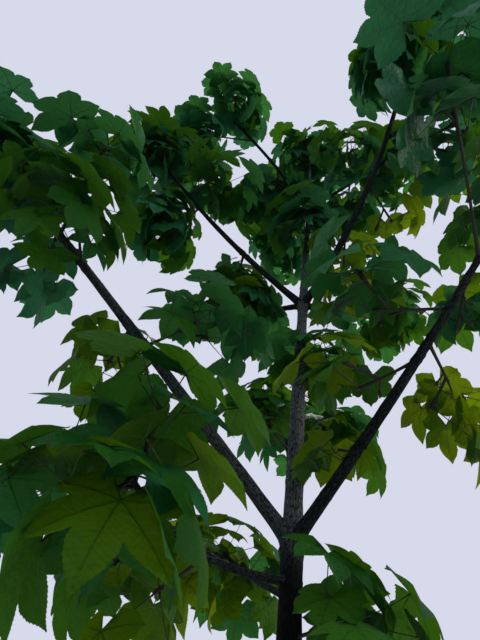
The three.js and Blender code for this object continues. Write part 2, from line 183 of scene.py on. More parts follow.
# Boughs, as in the solids: angles in degrees, bend and sway in degrees for each metre of length.
# A tip is (stem length, twigs, seed). A shoot has its share of the bough, azimuth and rise first.
BOUGH_COLUMNS = (
    "name", "height", "azimuth", "rise", "bend", "sway", "length", "radius", "end", "tip", "shoots",
)
BOUGH_ROWS = (
    ("low_left", 2266, 206, -17, 33, 43, 700, 16, 10, (150, 4, 12), (
        (0.58, 150, -35, 170, 1, 10),
    )),
    ("low_back", 2206, 112, 26, 10, -12, 640, 14, 9, (190, 2, 12), ()),
    ("first_left", 2400, 205, 34, 0, -1, 1760, 29.5, 16, (340, 3, 14), (
        (0.56, 333, 26, 220, 1, 11), (0.62, 116, -30, 160, 1, 16), (0.84, 262, 20, 260, 1, 6),
        (0.94, 292, 28, 400, 1, 6), (0.95, 100, -42, 210, 0, 1),
    )),
    ("first_right", 2400, 302, 38, 10, 7, 1520, 26, 14, (330, 3, 19), (
        (0.3, 100, -30, 60, 0, 12), (0.64, 45, -25, 240, 1, 12), (0.58, 140, -15, 240, 1, 19),
        (0.76, 161, 4, 300, 2, 16), (0.86, 87, -37, 200, 0, 9), (0.95, 241, 23, 800, 1, 2),
    )),
    ("first_back", 2400, 80, 52, 4, 5, 1400, 25, 14, (300, 2, 6), (
        (0.5, 325, 30, 300, 1, 17), (0.78, 205, 30, 250, 1, 17),
    )),
    ("second_left", 3900, 186, 37, 6, 8, 1320, 21.5, 12.5, (340, 3, 7), (
        (0.42, 95, -30, 280, 1, 7), (0.82, 129, -33, 280, 1, 19), (0.93, 320, 20, 240, 1, 3),
    )),
    ("second_right", 3900, 301, 40, 12, -11, 1760, 22.5, 13.5, (300, 4, 19), (
        (0.3, 77, -20, 240, 1, 6), (0.52, 40, -22, 260, 1, 12), (0.76, 2, -12, 380, 2, 15),
        (0.93, 215, 5, 220, 1, 19),
    )),
    ("second_side", 3900, 32, 38, 6, 6, 1120, 20, 12, (300, 2, 20), (
        (0.6, 275, 28, 360, 1, 16),
    )),
    ("second_back", 3900, 116, 40, 5, -6, 1060, 19, 12, (300, 3, 7), ()),
    ("third_left", 5200, 210, 42, -5, -10, 930, 16.5, 11, (260, 3, 4), (
        (0.5, 80, -15, 200, 1, 4), (0.9, 176, 0, 460, 2, 5),
    )),
    ("third_right", 5200, 333, 42, 4, 5, 800, 15, 10, (250, 3, 19), (
        (0.5, 249, 20, 300, 1, 20), (0.6, 79, -20, 280, 0, 15),
    )),
    ("third_back", 5200, 92, 42, 4, 5, 760, 14.5, 10, (250, 2, 11), ()),
)
BOUGHS = [dict(zip(BOUGH_COLUMNS, row)) for row in BOUGH_ROWS]

# Shoots on the trunk: name, height, azimuth, rise, then as for a bough's tip
TRUNK_SHOOTS = (
    ("low_right", 2080, 306, 5, 110, 1, 11),
    ("middle", 3240, 352, 35, 150, 1, 17),
    ("upper", 4480, 262, 30, 170, 1, 1),
)
LEADER = (240, 3, 19)

# Finer growth of each mass: spurs, leaves a hub, seed of its leaves, tone from 0, deep blue-green,
# to 1, yellow-green, and its leaves' size against the solids' where it isn't the usual one. The
# upper masses' tones lean blue-green as a painted haze and reflection of the sky
USUAL_LEAF_SIZE = 0.88
FOLIAGE = {
    "low_left_tip": (0, 5, 4, 0.55, 1.05),
    "low_left_side_1": (0, 5, 31, 0.65, 1.0),
    "low_back_tip": (5, 6, 15, 0.6, 0.95),
    "first_left_tip": (9, 6, 21, 0.1),
    "first_left_side_1": (1, 5, 6, 0.6),
    "first_left_side_2": (1, 5, 2, 0.5),
    "first_left_side_3": (4, 6, 50, 0.35),
    "first_left_side_4": (4, 6, 12, 0.2, 0.95),
    "first_left_side_5": (2, 5, 20, 0.25),
    "first_right_tip": (1, 5, 5, 0.5),
    "first_right_side_1": (7, 6, 19, 0.6),
    "first_right_side_2": (1, 5, 10, 1.0),
    "first_right_side_3": (1, 5, 12, 0.6),
    "first_right_side_4": (1, 5, 4, 0.5),
    "first_right_side_5": (7, 6, 14, 0.5),
    "first_right_side_6": (2, 5, 44, 0.1, 1.1),
    "first_back_tip": (5, 6, 20, 0.5),
    "first_back_side_1": (5, 6, 14, 0.5),
    "first_back_side_2": (5, 6, 16, 0.4),
    "second_left_tip": (9, 6, 16, 0.2),
    "second_left_side_1": (9, 6, 14, 0.4),
    "second_left_side_2": (9, 6, 17, 0.3),
    "second_left_side_3": (4, 6, 2, 0.3),
    "second_right_tip": (9, 6, 12, 0.05),
    "second_right_side_1": (1, 5, 2, 0.6),
    "second_right_side_2": (1, 5, 18, 0.75),
    "second_right_side_3": (4, 6, 21, 0.4),
    "second_right_side_4": (9, 6, 12, 0.05),
    "second_side_tip": (5, 6, 6, 0.5),
    "second_side_side_1": (5, 6, 4, 0.7),
    "second_back_tip": (9, 6, 11, 0.6),
    "third_left_tip": (4, 6, 16, 0.15),
    "third_left_side_1": (9, 6, 4, 0.2),
    "third_left_side_2": (9, 6, 1, 0.1),
    "third_right_tip": (9, 6, 2, 0.3),
    "third_right_side_1": (4, 6, 1, 0.2),
    "third_right_side_2": (7, 6, 14, 0.3),
    "third_back_tip": (9, 6, 8, 0.2),
    "trunk_low_right": (2, 5, 16, 0.4, 1.0),
    "trunk_middle": (4, 6, 3, 0.5),
    "trunk_upper": (9, 6, 21, 0.3),
    "leader": (9, 6, 15, 0.15),
}

# Blade, for a reach of 1: lobes as (angle from the midrib, reach, half width), bays between them as
# (angle, reach), a lobe's edge as shares of its reach and half width, and points down its vein
LOBES = ((0, 1.05, 0.28), (50, 1.01, 0.275), (104, 0.88, 0.25))
BAYS = ((25, 0.64), (77, 0.6), (146, 0.49))
LOBE_EDGE = ((0.69, 1.0), (0.82, 0.71), (0.91, 0.27))
LOBE_VEIN = (0.34, 0.62, 0.84, 1.0)
NOTCH = 0.05
TEETH = 3
TOOTH_PEAK = 0.8
TOOTH_HEIGHT = 0.28
VEIN_WIDTHS = (1.5, 1.3, 1.0, 0.7, 0.3)
VEIN_DEPTH = 0.006

# How one leaf differs from the next, as (least, range) where it is a pair: its roll, its sag from
# the stalk, its fold up off the veins, its curl past a share of its reach, and its bays' depth
LEAF_ROLL_RANGE = 34
LEAF_SAG = (0.1, 0.22)
LEAF_FOLD = (0.05, 0.3)
LEAF_CURL = (0.0, 0.5)
CURL_START = 0.62
LOBE_TURN = 51
LOBING_RANGE = 0.14
LOBING_MIDDLE = 0.45
EDGE_WAVE = 0.05
EDGE_WAVE_TURNS = 1.7
RIPPLE = 0.03
RIPPLE_TURNS = 3

# Side veins of a blade, in metres along its lobe: half the gap between them, half their width, and
# their slant
SIDE_VEIN_HALF_GAP = 0.0065
SIDE_VEIN_HALF_WIDTH = 0.003
SIDE_VEIN_SLANT = -0.8

# Greens of the leaves, from deep blue-green to yellow-green: name, face, light that comes through,
# roughness and sheen. The blue-green and deep green faces are painted bluer and lighter than a
# leaf's own green, as painted light and a painted reflection of the sky on the upper crown
LEAF_GREENS = (
    ("leaf_blue_green", "#1f6a4b", "#42854e", 0.42, 0.16),
    ("leaf_deep_green", "#1b633f", "#478a3a", 0.45, 0.16),
    ("leaf_mid_green", "#105420", "#4c8018", 0.48, 0.12),
    ("leaf_olive_green", "#13520f", "#6a900e", 0.5, 0.1),
    ("leaf_yellow_green", "#205c0e", "#90ac10", 0.5, 0.1),
)

# Barks of the trunk, the boughs, painted darker as shade, and the boughs painted paler as light:
# name, crack, plate, plate's edge, and how wide and how long a plate is in metres
BARKS = (
    ("grey_cracked_trunk_bark", "#181a1b", "#777b7b", "#b3b6b3", 0.0055, 0.032),
    # Painted shade: the boughs' grey bark painted darker for the shade on their undersides
    ("painted_shade_bough_bark", "#0f1112", "#373b3d", "#787c7a", 0.005, 0.028),
    # Painted light: a paler copy of the bough bark, for the boughs that light falls on from the
    # side
    ("painted_light_bough_bark", "#121415", "#626769", "#a0a4a2", 0.005, 0.028),
)
# Skins of the veins, stalks, twigs and buds: name, colour, freckles and roughness
SKINS = (
    ("leaf_vein_skin", "#3c5e2c", "#4b6e3a", 0.5),
    ("leaf_stalk_skin", "#232a16", "#33301f", 0.45),
    ("young_twig_bark", "#1b1a14", "#2b2820", 0.75),
    ("bud_scales", "#3d2e1e", "#5a4630", 0.5),
)

# Sockets of a Mix node's colours, whose names its other kinds share
MIX_A = 6
MIX_B = 7
MIX_RESULT = 2

# Lamps: name, direction from the tree, strength, and how many degrees wide each looks
SOFT_LAMPS = (("top_lamp", (0.15, 0.35, 1), 2.6, 14), ("side_lamp", (1, -0.35, 0.4), 1.3, 35))
LAMP_DISTANCE = 8
FLOOR_SIZE = 16

# Camera: degrees, metres, and its focal length in pixels of the picture's height
CAMERA_TILT = 50
CAMERA_ROLL = -11.39
CAMERA_PLACE = (-0.37, -1.8, 1.5)
SENSOR_HEIGHT = 36
FOCAL_PIXELS = 481
PICTURE_PIXELS = 640


def random_stream(seed):
    """Repeatable random numbers from 0 to 1, drawn as in the solids"""
    state = seed * STREAM_START[0] + STREAM_START[1]

    def draw():
        nonlocal state
        state = state * STREAM_STEP % STREAM_SIZE
        return state / STREAM_SIZE

    return draw


def drawn_from(limits, draw):
    """One draw from limits given as (least, range)"""
    return limits[0] + limits[1] * draw()


def unit(vector):
    return vector / np.linalg.norm(vector)


def heading(azimuth, rise):
    a, r = math.radians(azimuth), math.radians(rise)
    return np.array((math.cos(r) * math.cos(a), math.cos(r) * math.sin(a), math.sin(r)))


def cross_axes(axis):
    """Two directions square to an axis: one level, one towards the top"""
    side = np.cross(axis, UP)
    side = np.array((1.0, 0.0, 0.0)) if np.linalg.norm(side) < 0.01 else unit(side)
    return side, unit(np.cross(side, axis))


def branch_off(axis, turn, spread):
    """A direction that leaves an axis by spread degrees, turned about it"""
    side, rise = cross_axes(axis)
    t, s = math.radians(turn), math.radians(spread)
    return axis * math.cos(s) + side * math.sin(s) * math.cos(t) + rise * math.sin(s) * math.sin(t)


def trunk_centre(z):
    sway = TRUNK_SWAY * min(1, z / TRUNK_STRAIGHT)
    x, y = (sway * math.sin(turns * z / TRUNK_SWAY_LENGTH) for turns in TRUNK_SWAY_TURNS)
    return np.array((x, y, z))


def trunk_radius(z, angle=0.0):
    taper = 1 - (z / TRUNK_HEIGHT) ** TRUNK_TAPER_POWER
    flare = FLARE_RADIUS * math.exp(-z / FLARE_HEIGHT)
    lobes = 1 + FLARE_LOBE_SHARE * math.cos(FLARE_LOBES * angle)
    radius = TRUNK_TIP_RADIUS + (TRUNK_FOOT_RADIUS - TRUNK_TIP_RADIUS) * taper + flare * lobes
    for whorl in WHORLS:
        collar = COLLAR_RADIUS * (1 - COLLAR_FADE * whorl / TRUNK_HEIGHT)
        radius += collar * math.exp(-(((z - whorl) / COLLAR_HEIGHT) ** 2))
    return radius


class Course:
    """A limb's middle line, as points with their distances along it"""

    def __init__(self, points):
        self.points = np.array(points)
        steps = np.linalg.norm(np.diff(self.points, axis=0), axis=1)
        self.distances = np.concatenate(((0.0,), np.cumsum(steps)))
        self.length = self.distances[-1]

    def at(self, distance):
        return np.array([np.interp(distance, self.distances, self.points[:, k]) for k in range(3)])

    def along(self, distance):
        ahead = self.at(min(distance + TANGENT_STEP, self.length))
        return unit(ahead - self.at(max(distance - TANGENT_STEP, 0)))


def bough_course(bough):
    """Course from the trunk's axis, continued past the bough's end by its tip's stem"""
    total = bough["length"] + bough["tip"][0]
    steps = round(total / COURSE_STEP)
    points = [trunk_centre(bough["height"])]
    for i in range(steps):
        metres = (i + 0.5) / steps * total * MM
        azimuth = bough["azimuth"] + bough["sway"] * metres
        way = heading(azimuth, bough["rise"] + bough["bend"] * metres)
        points.append(points[-1] + way * total / steps)
    return Course(points)


def bough_radius(bough, distance):
    share = min(1, distance / bough["length"])
    return bough["radius"] + (bough["end"] - bough["radius"]) * share


def make_mass(name, stem, twigs, seed):
    """A mass's stem, its growth and the ball that it keeps to"""
    spurs, leaves, leaf_seed, tone, *size = FOLIAGE[name]
    return {
        "name": f"leaves_{name}", "stem": stem, "twigs": twigs,
        "seed": seed, "spurs": spurs, "leaves": leaves, "leaf_seed": leaf_seed, "tone": tone,
        "size": size[0] if size else USUAL_LEAF_SIZE,
        "along": unit(stem.at(stem.length) - stem.at(0)),
        "centre": stem.at(stem.length) + UP * CENTRE_LIFT,
        "reach": (TWIG_REACH if twigs else 0) + STALK_LENGTH + LEAF_REACH,
    }


def make_masses():
    """Every mass of foliage, in the solids' order"""
    masses = []
    for bough in BOUGHS:
        course = bough_course(bough)
        tip_points = [course.at(d) for d in np.linspace(bough["length"], course.length, TIP_POINTS)]
        name = bough["name"]
        masses.append(make_mass(f"{name}_tip", Course(tip_points), *bough["tip"][1:]))
        for i, (at, azimuth, rise, length, *growth) in enumerate(bough["shoots"]):
            root = course.at(at * bough["length"])
            inside = bough_radius(bough, at * bough["length"])
            end = root + heading(azimuth, rise) * (length + inside)
            masses.append(make_mass(f"{name}_side_{i + 1}", Course([root, end]), *growth))
    for name, height, azimuth, rise, length, *growth in TRUNK_SHOOTS:
        root = trunk_centre(height)
        end = root + heading(azimuth, rise) * (length + trunk_radius(height))
        masses.append(make_mass(f"trunk_{name}", Course([root, end]), *growth))
    top = trunk_centre(TRUNK_HEIGHT)
    leader = Course([top, top + UP * LEADER[0]])
    masses.append(make_mass("leader", leader, *LEADER[1:]))
    set_planes(masses)
    return masses


def set_planes(masses):
    """The planes that part each mass's space from its neighbours', as (normal, distance)"""
    for mass in masses:
        mass["planes"] = []
        for other in masses:
            gap = np.linalg.norm(other["centre"] - mass["centre"])
            if other is not mass and gap < mass["reach"] + other["reach"]:
                normal = (other["centre"] - mass["centre"]) / gap
                share = mass["reach"] / (mass["reach"] + other["reach"])
                middle = mass["centre"] + (other["centre"] - mass["centre"]) * share
                mass["planes"].append((normal, middle @ normal))


def limb_samples():
    """Points down the middle of every limb, with the limb's radius there, for keeping leaves off"""
    rows = [(*trunk_centre(z), trunk_radius(z)) for z in range(0, TRUNK_HEIGHT, SAMPLE_STEP)]
    for bough in BOUGHS:
        course = bough_course(bough)
        for distance in np.arange(0, bough["length"], SAMPLE_STEP):
            rows.append((*course.at(distance), bough_radius(bough, distance)))
    return np.array(rows)


def touches_limb(points, limbs):
    """Whether any point is nearer to a limb's bark than leaves may come"""
    gaps = np.linalg.norm(points[:, None, :] - limbs[None, :, :3], axis=2) - limbs[None, :, 3]
    return gaps.min() < LEAF_GAP


def keeps_to_space(points, mass):
    """Whether points lie in a mass's ball, by its solid's box, and on its side of every plane"""
    if np.linalg.norm(points - mass["centre"], axis=1).max() > mass["reach"]:
        return False
    low, high = mass["box"]
    if (points < low - BOX_MARGIN).any() or (points > high + BOX_MARGIN).any():
        return False
    return all((points @ normal).max() < distance for normal, distance in mass["planes"])


def grow_hubs(mass, limbs):
    """Hubs of a mass: the stem's tip, its twigs' tips by the solids' draws, and spurs on both"""
    draw = random_stream(mass["seed"])
    stem = mass["stem"]
    length = stem.length
    root, tip = stem.at(STEM_HUB_ROOT * length), stem.at(length)
    hubs = [{"root": root, "tip": tip, "turn": 360 * draw(), "kind": "stem"}]
    for i in range(mass["twigs"]):
        root = stem.at((TWIG_FIRST + TWIG_ZONE * (i + 0.5) / mass["twigs"]) * length)
        turn = SEED_TURN * mass["seed"] + GOLDEN_ANGLE * i
        reach = TWIG_LENGTH * (1 + TWIG_LENGTH_RANGE * (draw() - 0.5))
        way = branch_off(mass["along"], turn, TWIG_SPREAD + TWIG_SPREAD_RANGE * (draw() - 0.5))
        hubs.append({"root": root, "tip": root + way * reach, "turn": 360 * draw(), "kind": "twig"})
    kept = [hubs[0]]
    for hub in hubs[1:]:
        points = np.linspace(hub["root"], hub["tip"], TWIG_POINTS)
        if keeps_to_space(points, mass) and not touches_limb(points[1:], limbs):
            kept.append(hub)
    return kept + grow_spurs(kept, mass, limbs, random_stream(mass["leaf_seed"] + SPUR_STREAM))


def grow_spurs(hubs, mass, limbs, draw):
    """Short shoots dealt out along the stem and its twigs, finer than the solids have"""
    spurs = []
    for i in range(mass["spurs"]):
        hub = hubs[i % len(hubs)]
        share = drawn_from(SPUR_ZONES[hub["kind"]], draw)
        if hub["kind"] == "stem":
            start = mass["stem"].at(share * mass["stem"].length)
        else:
            start = hub["root"] + (hub["tip"] - hub["root"]) * share
        way = branch_off(unit(hub["tip"] - hub["root"]), 360 * draw(), SPUR_SPREAD)
        tip = start + way * SPUR_LENGTH * (SPUR_LENGTH_LEAST + SPUR_LENGTH_RANGE * draw())
        spur = {"root": start, "tip": tip, "turn": 360 * draw(), "kind": "spur"}
        points = np.array((tip, (start + tip) / 2))
        if keeps_to_space(points, mass) and not touches_limb(points, limbs):
            spurs.append(spur)
    return spurs


def grow_leaf(hub, share, scale, draw):
    """One leaf at a hub: a stalk that leaves the twig, and a blade that looks outwards and hangs"""
    axis = unit(hub["tip"] - hub["root"])
    lean = unit(axis + UP * STALK_LIFT)
    turn = hub["turn"] + 360 * share + STALK_TURN_RANGE * (draw() - 0.5)
    way = branch_off(lean, turn, STALK_SPREAD + STALK_SPREAD_RANGE * draw())
    size = (SPUR_STALK, SPUR_LEAF * scale) if hub["kind"] == "spur" else (1, scale)
    length = size[0] * STALK_LENGTH * (STALK_LENGTH_LEAST + STALK_LENGTH_RANGE * draw())
    start = hub["tip"] - axis * HUB_DEPTH * draw()
    top = start + way * length
    level = math.degrees(math.atan2(way[1], way[0])) + LEAF_YAW_RANGE * (draw() - 0.5)
    hang = LEAF_DROOP + max(0, -math.degrees(math.asin(way[2]))) + LEAF_DROOP_RANGE * draw()
    forward = heading(level, -min(hang, LEAF_DROOP_MOST))
    side = unit(np.cross(UP, forward))
    normal = np.cross(forward, side)
    roll = math.radians(LEAF_ROLL_RANGE) * (draw() - 0.5)
    side, normal = (
        side * math.cos(roll) + normal * math.sin(roll),
        normal * math.cos(roll) - side * math.sin(roll),
    )
    return {
        "root": start, "top": top, "way": way, "forward": forward, "side": side, "normal": normal,
        "reach": size[1] * LEAF_REACH * (LEAF_REACH_LEAST + LEAF_REACH_RANGE * draw()),
        "sag": drawn_from(LEAF_SAG, draw), "fold": drawn_from(LEAF_FOLD, draw),
        "curl": drawn_from(LEAF_CURL, draw), "phase": 2 * math.pi * draw(),
        "lobing": LOBING_RANGE * (draw() - LOBING_MIDDLE),
    }


def polar(angle, reach):
    return reach * math.cos(math.radians(angle)), reach * math.sin(math.radians(angle))


def toothed(start, end, teeth):
    """Points of saw teeth from one point of a blade's edge to the next, without those two"""
    start, end = np.array(start), np.array(end)
    way = end[:2] - start[:2]
    out = np.array((way[1], -way[0])) * np.sign(np.cross(start[:2], way))
    points = []
    for i in range(teeth):
        x, y = start[:2] + way * (i + TOOTH_PEAK) / teeth + out * TOOTH_HEIGHT / teeth
        points.append((x, y, start[2] + (end[2] - start[2]) * (i + TOOTH_PEAK) / teeth))
        if i < teeth - 1:
            points.append(tuple(start + (end - start) * (i + 1) / teeth))
    return points


def half_lobe(points, lobe, bay, sign, row, teeth):
    """One side of a lobe, from its vein out to its edge: adds its points and gives its faces.
    Each point is (x, y, distance from the vein), for a blade of reach 1."""
    angle, reach, width = lobe
    turn = math.radians(angle)
    corner, middle = bay
    edge = [corner]
    for along, across in LOBE_EDGE:
        x, y = along * reach, sign * across * width
        turned_x = x * math.cos(turn) - y * math.sin(turn)
        turned_y = x * math.sin(turn) + y * math.cos(turn)
        points.append((turned_x, turned_y, abs(y)))
        edge.append(len(points) - 1)
    edge.append(row[-1])
    rims = []
    for start, end in zip(edge, edge[1:]):
        saw = toothed(points[start], points[end], teeth)
        rims.append((start, *range(len(points), len(points) + len(saw)), end))
        points += saw
    first, second, third, _ = row
    faces = [
        (0, first, middle), (first, *rims[0][::-1], middle), (first, second, edge[1]),
        (second, third, *rims[1][::-1]), (third, *rims[3][::-1], *rims[2][-2::-1]),
    ]
    return faces if sign == 1 else [face[::-1] for face in faces]


def blade_form(teeth):
    """Flat blade of reach 1: its points, its faces, each face corner's place along and across its
    lobe, and the points down each lobe's vein"""
    lobes = [(-angle, *size) for angle, *size in reversed(LOBES[1:])] + list(LOBES)
    bays = [(-angle, reach) for angle, reach in reversed(BAYS)] + list(BAYS)
    points = [(0.0, 0.0, 0.0), (-NOTCH, 0.0, 0.0)]
    corners = []
    for angle, reach in bays:
        off = reach * math.sin(math.radians(min(abs(angle - lobe[0]) for lobe in lobes)))
        for share in (1, 0.5):
            points.append((*polar(angle, reach * share), off * share))
        corners.append((len(points) - 2, len(points) - 1))
    faces, places, veins = [], [], []
    for i, lobe in enumerate(lobes):
        row = []
        for share in LOBE_VEIN:
            points.append((*polar(lobe[0], share * lobe[1]), 0.0))
            row.append(len(points) - 1)
        veins.append((0, *row))
        turn = math.radians(lobe[0])
        for sign, bay in ((1, corners[i + 1]), (-1, corners[i])):
            sides = half_lobe(points, lobe, bay, sign, row, teeth)
            if i == 0 and sign == -1:
                sides.append((0, bay[1], bay[0], 1))
            if i == len(lobes) - 1 and sign == 1:
                sides.append((0, 1, bay[0], bay[1]))
            faces += sides
            for x, y in (points[corner][:2] for side in sides for corner in side):
                along = x * math.cos(turn) + y * math.sin(turn)
                places.append((along, y * math.cos(turn) - x * math.sin(turn)))
    return {"points": np.array(points), "faces": faces, "places": np.array(places), "veins": veins}


PLAIN_BLADE = blade_form(0)
TOOTHED_BLADE = blade_form(TEETH)


def blade_points(leaf, form, lift=0.0):
    """The blade's points: it sags from its stalk, folds up off its veins and curls at its tips"""
    x, y, off = form["points"].T
    angle = np.arctan2(y, x)
    depth = leaf["lobing"] * np.cos(np.radians(360 / LOBE_TURN) * np.degrees(angle))
    wave = EDGE_WAVE * np.sin(EDGE_WAVE_TURNS * angle + leaf["phase"])
    far = np.hypot(x, y) * (1 + wave + depth)
    height = lift - leaf["sag"] * far**2 + leaf["fold"] * off
    height -= leaf["curl"] * np.maximum(0, far - CURL_START) ** 2
    height += RIPPLE * far * np.sin(RIPPLE_TURNS * angle + 2 * leaf["phase"])
    flat = np.outer(far * np.cos(angle), leaf["forward"])
    flat += np.outer(far * np.sin(angle), leaf["side"])
    return leaf["top"] + leaf["reach"] * (flat + np.outer(height, leaf["normal"]))


def place_leaf(hub, share, mass, limbs, blades, draw):
    """Tries a leaf at a few places, and keeps the first that is clear, or else the clearest"""
    best, best_gap = None, LEAF_CROWD
    for _ in range(LEAF_TRIES):
        leaf = grow_leaf(hub, share, mass["size"], draw)
        points = blade_points(leaf, PLAIN_BLADE)
        if not keeps_to_space(points, mass) or touches_limb(points, limbs):
            continue
        middle = points.mean(axis=0)
        gap = np.linalg.norm(np.array(blades) - middle, axis=1).min() if blades else LEAF_CLEAR + 1
        if gap > best_gap:
            best, best_gap = (leaf, middle), gap
        if gap > LEAF_CLEAR:
            break
    if best is None:
        return None
    blades.append(best[1])
    return best[0]


def grow_mass(mass, limbs):
    """The mass's hubs and its leaves, each leaf with its spray's number"""
    draw = random_stream(mass["leaf_seed"])
    hubs = grow_hubs(mass, limbs)
    leaves, blades = [], []
    for spray, hub in enumerate(hubs):
        count = SPUR_LEAVES if hub["kind"] == "spur" else mass["leaves"]
        for i in range(count):
            leaf = place_leaf(hub, i / count, mass, limbs, blades, draw)
            if leaf is not None:
                leaf["spray"] = spray
                leaves.append(leaf)
    return hubs, leaves


def linear(colour):
    """sRGB hex to the linear colour that shaders take"""
    channels = [int(colour[i:i + 2], 16) / 255 for i in (1, 3, 5)]
    return (*(c / 12.92 if c <= 0.04045 else ((c + 0.055) / 1.055) ** 2.4 for c in channels), 1.0)


def add_node(tree, kind, inputs=None, stops=None, **settings):
    """A shader node with its settings, its colour stops, and its inputs as values or links"""
    node = tree.nodes.new(f"ShaderNode{kind}")
    for name, value in settings.items():
        setattr(node, name, value)
    for i, (position, colour) in enumerate(stops or ()):
        elements = node.color_ramp.elements
        element = elements[i] if i < len(elements) else elements.new(position)
        element.position = position
        element.color = colour
    for socket, value in (inputs or {}).items():
        if isinstance(value, bpy.types.NodeSocket):
            tree.links.new(value, node.inputs[socket])
        else:
            node.inputs[socket].default_value = value
    return node


def new_material(name):
    """An empty node material with its output, and the tree to build it in"""
    material = bpy.data.materials.new(name)
    material.use_nodes = True
    tree = material.node_tree
    tree.nodes.clear()
    output = add_node(tree, "OutputMaterial")
    return material, tree, output


def bark_material(name, crack, plate, edge, crack_width, crack_length):
    """Bark of a young tree: dry, dull, and cracked lengthwise into narrow plates that weather grey.
    Below the first whorl it is brown, with painted shade that turns it almost black just under the
    crown."""
    material, tree, output = new_material(name)
    limb = add_node(tree, "Attribute", attribute_name="limb")
    stretched = add_node(tree, "Mapping", {
        "Vector": limb.outputs["Vector"],
        "Scale": (1 / crack_width, 1 / crack_width, 1 / crack_length),
    })
    wander = add_node(tree, "TexNoise", {
        "Vector": stretched.outputs["Vector"], "Scale": 0.8, "Detail": 2.0,
    })
    bent = add_node(tree, "VectorMath", {
        0: wander.outputs["Color"], 1: (1.4, 1.4, 1.4), 2: stretched.outputs["Vector"],
    }, operation="MULTIPLY_ADD")
    cracks = add_node(tree, "TexVoronoi", {
        "Vector": bent.outputs["Vector"], "Scale": 1.0,
    }, feature="DISTANCE_TO_EDGE")
    streaks = add_node(tree, "TexNoise", {
        "Vector": bent.outputs["Vector"], "Scale": 1.3, "Detail": 6.0, "Roughness": 0.7,
    })
    patches = add_node(tree, "TexNoise", {
        "Vector": limb.outputs["Vector"], "Scale": 11.0, "Detail": 4.0, "Roughness": 0.6,
    })
    weathered = add_node(tree, "ValToRGB", {"Fac": streaks.outputs["Fac"]}, stops=(
        (0.3, linear(crack)), (0.48, linear(plate)), (0.7, linear(edge)),
    ))
    mottled = add_node(tree, "Mix", {
        "Factor": patches.outputs["Fac"], MIX_A: weathered.outputs["Color"], MIX_B: linear(plate),
    }, data_type="RGBA")
    depth = add_node(tree, "MapRange", {
        "Value": cracks.outputs["Distance"], "From Max": 0.16,
    }, interpolation_type="SMOOTHSTEP")
    cracked = add_node(tree, "Mix", {
        "Factor": depth.outputs["Result"], MIX_A: linear(crack), MIX_B: mottled.outputs[MIX_RESULT],
    }, data_type="RGBA")
    parts = add_node(tree, "SeparateXYZ", {"Vector": limb.outputs["Vector"]})
    # Below the first whorl the grey bark gives way to brown bark with painted shade
    shaded_lower_share = add_node(tree, "MapRange", {
        "Value": parts.outputs["Z"], "From Min": SHADED_LOWER_HEIGHTS[0], "From Max": SHADED_LOWER_HEIGHTS[1],
        "To Min": 0.93, "To Max": 0.0,
    }, interpolation_type="SMOOTHSTEP")
    # Painted shade: the brown darkens up the trunk to almost black under the crown
    rise = add_node(tree, "MapRange", {"Value": parts.outputs["Z"], "From Max": 2.4})
    painted_crown_shade = add_node(tree, "ValToRGB", {"Fac": rise.outputs["Result"]}, stops=(
        (0.0, linear("#5c534a")), (0.5, linear("#383029")), (0.85, linear("#0d0b0a")),
    ))
    shaded_lower_bark = add_node(tree, "Mix", {
        "Factor": shaded_lower_share.outputs["Result"], MIX_A: cracked.outputs[MIX_RESULT],
        MIX_B: painted_crown_shade.outputs["Color"],
    }, data_type="RGBA")
    height = add_node(tree, "Math", {
        0: depth.outputs["Result"], 1: 0.8, 2: streaks.outputs["Fac"],
    }, operation="MULTIPLY_ADD")
    bump = add_node(tree, "Bump", {
        "Height": height.outputs["Value"], "Strength": 1.0, "Distance": 0.004,
    })
    surface = add_node(tree, "BsdfPrincipled", {
        "Base Color": shaded_lower_bark.outputs[MIX_RESULT], "Roughness": 0.9, "Specular IOR Level": 0.1,
        "Normal": bump.outputs["Normal"],
    })
    tree.links.new(surface.outputs["BSDF"], output.inputs["Surface"])
    return material


def leaf_material(name, face, through, gloss, sheen):
    """Living leaf: a waxy face over green flesh that lets the sky's light through, puckered
    between side veins that leave a lobe's main vein every 13 mm"""
    material, tree, output = new_material(name)
    place = add_node(tree, "UVMap", uv_map="blade")
    parts = add_node(tree, "SeparateXYZ", {"Vector": place.outputs["UV"]})
    across = add_node(tree, "Math", {0: parts.outputs["Y"]}, operation="ABSOLUTE")
    slant = add_node(tree, "Math", {
        0: across.outputs["Value"], 1: SIDE_VEIN_SLANT, 2: parts.outputs["X"],
    }, operation="MULTIPLY_ADD")
    rows = add_node(tree, "Math", {
        0: slant.outputs["Value"], 1: SIDE_VEIN_HALF_GAP,
    }, operation="PINGPONG")
    veins = add_node(tree, "MapRange", {
        "Value": rows.outputs["Value"], "From Max": SIDE_VEIN_HALF_WIDTH, "To Min": 0.86,
    }, interpolation_type="SMOOTHSTEP")
    flesh = add_node(tree, "TexNoise", {
        "Vector": place.outputs["UV"], "Scale": 45.0, "Detail": 2.0,
    })
    height = add_node(tree, "Math", {
        0: veins.outputs["Result"], 1: 0.3, 2: flesh.outputs["Fac"],
    }, operation="MULTIPLY_ADD")
    bump = add_node(tree, "Bump", {
        "Height": height.outputs["Value"], "Strength": 0.7, "Distance": 0.011,
    })
    glow = add_node(tree, "Mix", {
        "Factor": veins.outputs["Result"], MIX_A: linear(face), MIX_B: linear(through),
    }, data_type="RGBA")
    waxy = add_node(tree, "BsdfPrincipled", {
        "Base Color": linear(face), "Roughness": gloss, "Specular IOR Level": sheen,
        "Normal": bump.outputs["Normal"],
    })
    lit = add_node(tree, "BsdfTranslucent", {
        "Color": glow.outputs[MIX_RESULT], "Normal": bump.outputs["Normal"],
    })
    both = add_node(tree, "MixShader", {
        "Fac": 0.42, 1: waxy.outputs["BSDF"], 2: lit.outputs["BSDF"],
    })
    tree.links.new(both.outputs["Shader"], output.inputs["Surface"])
    return material


